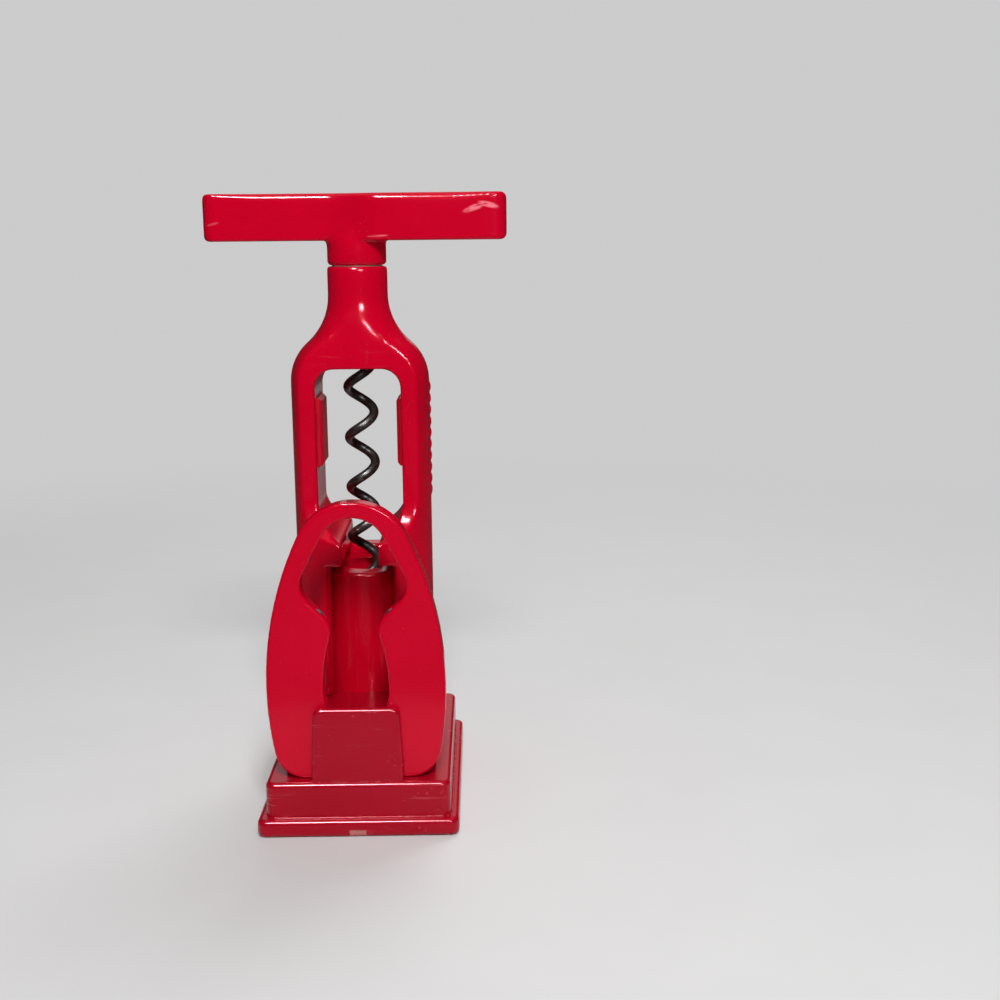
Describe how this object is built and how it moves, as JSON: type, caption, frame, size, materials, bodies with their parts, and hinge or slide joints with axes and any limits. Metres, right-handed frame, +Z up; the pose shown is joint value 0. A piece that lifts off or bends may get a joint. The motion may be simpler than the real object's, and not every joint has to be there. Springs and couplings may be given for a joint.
{
  "type": "corkscrew on display stand",
  "caption": "T-handle corkscrew with a helical worm in a bottle-shaped frame, standing on a plastic display stand behind an arch-shaped foil cutter with cutting wheels.",
  "frame": {"origin": "on the floor, at the middle of the stand's footprint", "axes": "+Z up along the worm, +X along the handle bar to the right, -Y towards the foil cutter"},
  "size_m": [0.095, 0.0878, 0.1927],
  "materials": {
    "red": "high gloss",
    "stand_red": "satin, scuffed",
    "black_coat": "black non-stick coat on steel wire",
    "acetal": "natural white",
    "brass": "turned",
    "steel": "ground"
  },
  "bodies": {
    "stand": {"stand_base": "stand_red", "stand_post": "stand_red"},
    "frame": {"frame": "red", "left_cork_pad": "red", "right_cork_pad": "red", "neck_bush": "acetal"},
    "washer": {"thrust_washer": "acetal"},
    "handle": {"handle": "red", "worm": "black_coat", "worm_collar": "brass"},
    "cutter": {"cutter_body": "red", "upper_left_pin": "steel", "upper_right_pin": "steel", "lower_left_pin": "steel", "lower_right_pin": "steel"},
    "upper_left_wheel": {"upper_left_wheel": "steel"},
    "upper_right_wheel": {"upper_right_wheel": "steel"},
    "lower_left_wheel": {"lower_left_wheel": "steel"},
    "lower_right_wheel": {"lower_right_wheel": "steel"}
  },
  "joints": [
    {"name": "corkscrew_lift", "type": "slide", "parent": "stand", "child": "frame", "axis": [0, 0, 1], "range_m": [0, 0.05]},
    {"name": "handle_spin", "type": "hinge", "parent": "frame", "child": "washer", "pos_m": [0, 0.008, 0.1704], "axis": [0, 0, 1], "continuous": true},
    {"name": "handle_lift", "type": "slide", "parent": "washer", "child": "handle", "axis": [0, 0, 1], "range_m": [0, 0.13]},
    {"name": "cutter_lift", "type": "slide", "parent": "stand", "child": "cutter", "axis": [0, 0, 1], "range_m": [0, 0.03]},
    {"name": "upper_left_wheel_spin", "type": "hinge", "parent": "cutter", "child": "upper_left_wheel", "pos_m": [-0.01468, -0.03405, 0.08616], "axis": [0, 1, 0], "continuous": true},
    {"name": "upper_right_wheel_spin", "type": "hinge", "parent": "cutter", "child": "upper_right_wheel", "pos_m": [0.01468, -0.03405, 0.08616], "axis": [0, 1, 0], "continuous": true},
    {"name": "lower_left_wheel_spin", "type": "hinge", "parent": "cutter", "child": "lower_left_wheel", "pos_m": [-0.01171, -0.03405, 0.06682], "axis": [0, 1, 0], "continuous": true},
    {"name": "lower_right_wheel_spin", "type": "hinge", "parent": "cutter", "child": "lower_right_wheel", "pos_m": [0.01171, -0.03405, 0.06682], "axis": [0, 1, 0], "continuous": true}
  ]
}
